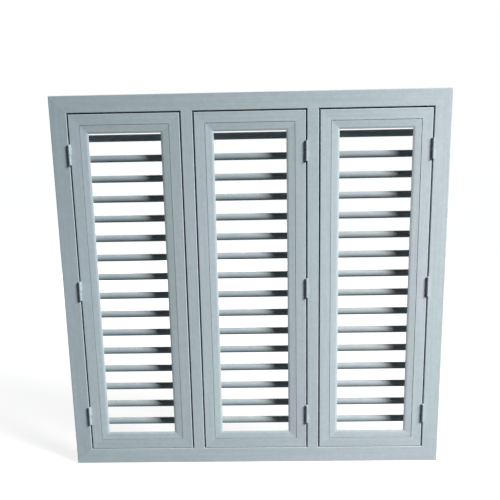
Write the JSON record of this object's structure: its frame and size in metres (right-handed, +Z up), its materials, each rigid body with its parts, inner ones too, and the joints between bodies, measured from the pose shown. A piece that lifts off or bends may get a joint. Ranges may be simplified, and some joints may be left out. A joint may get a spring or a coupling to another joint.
{
  "type": "steel window",
  "caption": "Square steel casement window: welded tube frame with mullions, outward-opening sashes on barrel hinges, turn latches, and a fixed grille of round bars across the back.",
  "frame": {"origin": "middle of the sill's underside", "axes": "+X along the sill, to the right as seen from outside; +Y from the outside face to the back; +Z up"},
  "size_m": [1.22, 0.069, 1.22],
  "materials": {
    "frame_paint": "pale blue-grey primer coat, satin, with light brush and weld marks",
    "sash_paint": "pale blue-grey primer coat, satin",
    "bar_paint": "pale blue-grey primer coat, satin",
    "hinge_steel": "turned steel under the same pale blue-grey coat",
    "latch_steel": "flat steel under the same pale blue-grey coat, rubbed at the edges"
  },
  "bodies": {
    "frame": {"frame_head": "frame_paint", "frame_sill": "frame_paint", "frame_left_jamb": "frame_paint", "frame_right_jamb": "frame_paint", "left_mullion": "frame_paint", "right_mullion": "frame_paint", "grille_bar_01": "bar_paint", "grille_bar_02": "bar_paint", "grille_bar_03": "bar_paint", "grille_bar_04": "bar_paint", "grille_bar_05": "bar_paint", "grille_bar_06": "bar_paint", "grille_bar_07": "bar_paint", "grille_bar_08": "bar_paint", "grille_bar_09": "bar_paint", "grille_bar_10": "bar_paint", "grille_bar_11": "bar_paint", "grille_bar_12": "bar_paint", "grille_bar_13": "bar_paint", "grille_bar_14": "bar_paint", "grille_bar_15": "bar_paint", "grille_bar_16": "bar_paint", "left_hinge_1_pintle": "hinge_steel", "left_hinge_2_pintle": "hinge_steel", "left_hinge_3_pintle": "hinge_steel", "middle_hinge_1_pintle": "hinge_steel", "middle_hinge_2_pintle": "hinge_steel", "middle_hinge_3_pintle": "hinge_steel", "right_hinge_1_pintle": "hinge_steel", "right_hinge_2_pintle": "hinge_steel", "right_hinge_3_pintle": "hinge_steel", "hinge_washers": "hinge_steel"},
    "left_sash": {"left_sash_hinge_stile": "sash_paint", "left_sash_closing_stile": "sash_paint", "left_sash_top_rail": "sash_paint", "left_sash_bottom_rail": "sash_paint", "left_hinge_1_knuckle": "hinge_steel", "left_hinge_2_knuckle": "hinge_steel", "left_hinge_3_knuckle": "hinge_steel", "left_latch_pivot": "latch_steel"},
    "left_latch": {"left_latch_lever": "latch_steel"},
    "middle_sash": {"middle_sash_hinge_stile": "sash_paint", "middle_sash_closing_stile": "sash_paint", "middle_sash_top_rail": "sash_paint", "middle_sash_bottom_rail": "sash_paint", "middle_hinge_1_knuckle": "hinge_steel", "middle_hinge_2_knuckle": "hinge_steel", "middle_hinge_3_knuckle": "hinge_steel", "middle_latch_pivot": "latch_steel"},
    "middle_latch": {"middle_latch_lever": "latch_steel"},
    "right_sash": {"right_sash_hinge_stile": "sash_paint", "right_sash_closing_stile": "sash_paint", "right_sash_top_rail": "sash_paint", "right_sash_bottom_rail": "sash_paint", "right_hinge_1_knuckle": "hinge_steel", "right_hinge_2_knuckle": "hinge_steel", "right_hinge_3_knuckle": "hinge_steel", "right_latch_pivot": "latch_steel"},
    "right_latch": {"right_latch_lever": "latch_steel"}
  },
  "joints": [
    {"name": "left_sash_swing", "type": "hinge", "parent": "frame", "child": "left_sash", "pos_m": [-0.556, -0.02287, 0.6085], "axis": [0, 0, -1], "range_deg": [0, 110]},
    {"name": "left_latch_turn", "type": "hinge", "parent": "left_sash", "child": "left_latch", "pos_m": [-0.23525, 0.0226, 0.61], "axis": [0, 1, 0], "range_deg": [0, 90]},
    {"name": "middle_sash_swing", "type": "hinge", "parent": "frame", "child": "middle_sash", "pos_m": [0.172, -0.02287, 0.6085], "axis": [0, 0, 1], "range_deg": [0, 110]},
    {"name": "middle_latch_turn", "type": "hinge", "parent": "middle_sash", "child": "middle_latch", "pos_m": [-0.14875, 0.0226, 0.61], "axis": [0, -1, 0], "range_deg": [0, 90]},
    {"name": "right_sash_swing", "type": "hinge", "parent": "frame", "child": "right_sash", "pos_m": [0.556, -0.02287, 0.6085], "axis": [0, 0, 1], "range_deg": [0, 110]},
    {"name": "right_latch_turn", "type": "hinge", "parent": "right_sash", "child": "right_latch", "pos_m": [0.23525, 0.0226, 0.61], "axis": [0, -1, 0], "range_deg": [0, 90]}
  ]
}
